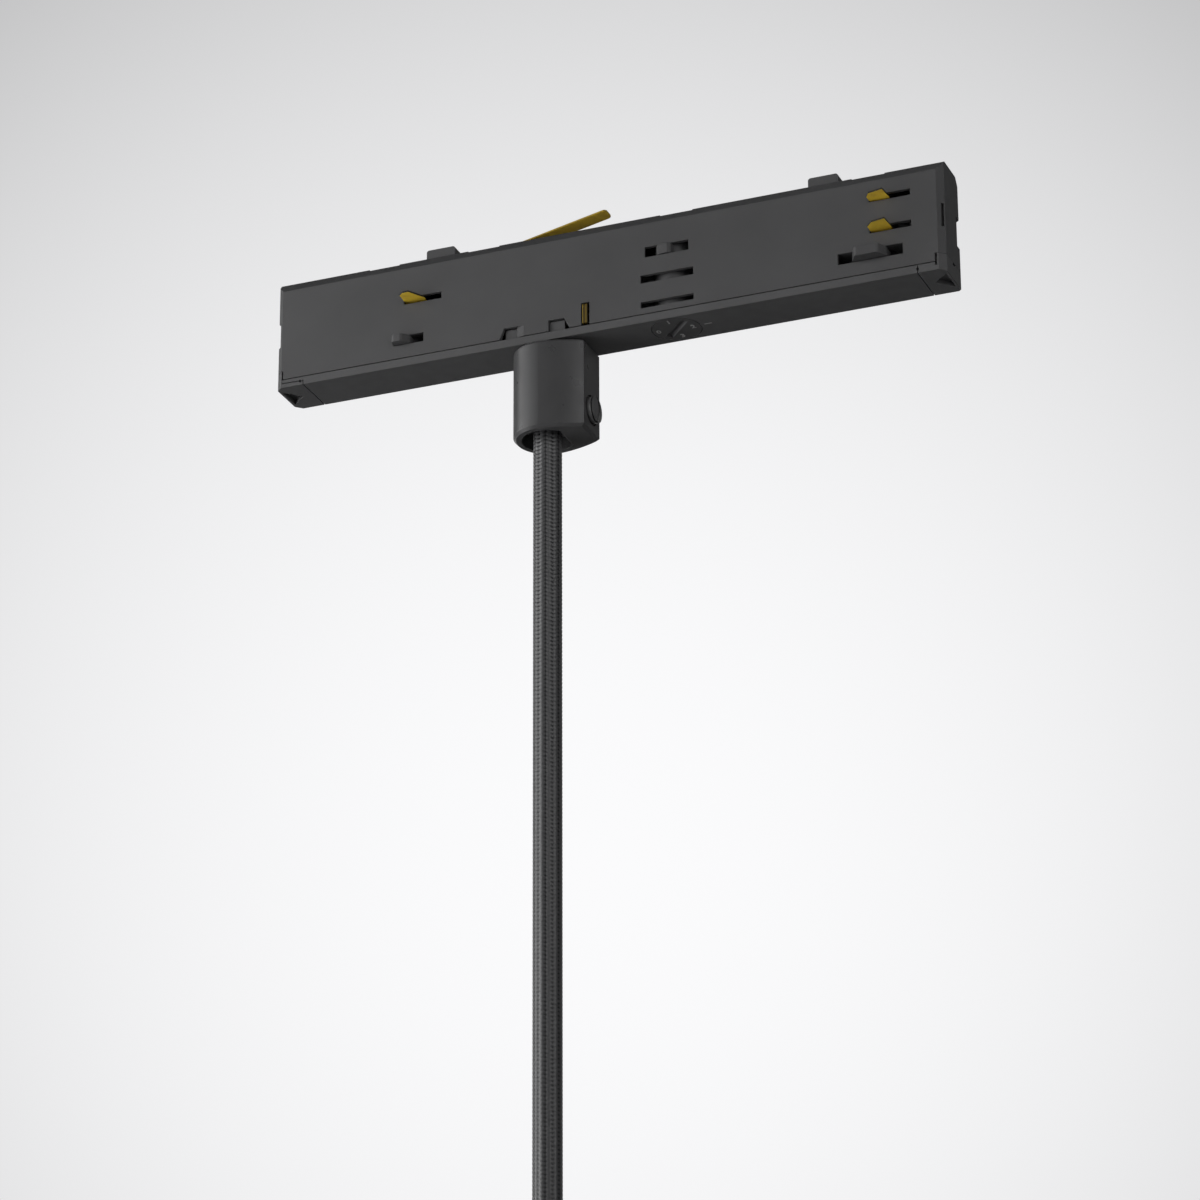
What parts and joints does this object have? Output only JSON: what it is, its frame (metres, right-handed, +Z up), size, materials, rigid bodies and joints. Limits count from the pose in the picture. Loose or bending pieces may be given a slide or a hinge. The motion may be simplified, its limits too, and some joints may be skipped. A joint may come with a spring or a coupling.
{
  "type": "track light adapter",
  "caption": "Adapter bar that locks into a lighting track, with contact rotors, end latches, circuit selector dial, leaf spring and a cord grip carrying a pendant cord.",
  "frame": {"origin": "middle of the bar's underside, in the plane of the track's open face, between the two joints at the ends of the bottom cover", "axes": "+X along the bar towards the end with the tall latch mechanism, +Z up into the track, -Y the side that the picture shows"},
  "size_m": [0.2028, 0.0258, 0.32],
  "materials": {
    "housing_plastic": "fine satin moulding",
    "rotor_plastic": "satin moulding",
    "selector_plastic": "satin moulding",
    "grip_plastic": "smooth satin moulding",
    "brass_strip": "bright punched strip",
    "plated_steel": "zinc plated",
    "black_screw": "black, satin",
    "terminal_brass": "drawn brass",
    "terminal_plastic": "natural moulding",
    "cord_braid": "close textile braid",
    "core_insulation": "smooth",
    "black_fitting": "black, satin"
  },
  "bodies": {
    "housing": {"upper_housing": "housing_plastic", "bottom_cover": "housing_plastic", "cord_grip": "grip_plastic", "grip_nut": "plated_steel", "clamp_saddle": "grip_plastic", "clamp_screw": "black_screw", "cord": "cord_braid", "cord_cores": "core_insulation", "terminal_block": "terminal_plastic", "terminals": "terminal_brass", "terminal_screws": "plated_steel", "earth_contact": "brass_strip", "lower_fitting": "black_fitting", "lower_screw": "plated_steel"},
    "right_lock": {"right_rotor": "rotor_plastic", "right_contact_low": "brass_strip", "right_contact_high": "brass_strip"},
    "left_lock": {"left_rotor": "rotor_plastic", "left_contact_middle": "brass_strip"},
    "right_release": {"right_latch": "housing_plastic"},
    "left_release": {"left_latch": "housing_plastic"},
    "selector": {"selector_dial": "selector_plastic", "selector_drum": "selector_plastic", "phase_contact_low": "brass_strip", "phase_contact_middle": "brass_strip", "phase_contact_high": "brass_strip"},
    "roof_spring": {"leaf_spring": "brass_strip"}
  },
  "joints": [
    {"name": "right_lock_turn", "type": "hinge", "parent": "housing", "child": "right_lock", "pos_m": [0.0795, 0, 0], "axis": [0, 0, 1], "range_deg": [0, 80]},
    {"name": "right_release_slide", "type": "slide", "parent": "housing", "child": "right_release", "axis": [1, 0, 0], "range_m": [0, 0.00515]},
    {"name": "left_lock_turn", "type": "hinge", "parent": "housing", "child": "left_lock", "pos_m": [-0.0625, 0, 0], "axis": [0, 0, 1], "range_deg": [0, 80]},
    {"name": "left_release_slide", "type": "slide", "parent": "housing", "child": "left_release", "axis": [-1, 0, 0], "range_m": [0, 0.00515]},
    {"name": "selector_turn", "type": "hinge", "parent": "housing", "child": "selector", "pos_m": [0.0194, 0, 0], "axis": [0, 0, 1], "range_deg": [0, 270]},
    {"name": "spring_flex", "type": "hinge", "parent": "housing", "child": "roof_spring", "pos_m": [-0.0362, 0, 0.03338], "axis": [0, 1, 0], "range_deg": [0, 11.8], "stiffness_Nm_per_rad": 0.3}
  ],
  "couplings": [
    {"joint": "right_release_slide", "follows": "right_lock_turn", "m_per_rad": 0.0036829},
    {"joint": "left_release_slide", "follows": "left_lock_turn", "m_per_rad": 0.0036829}
  ]
}
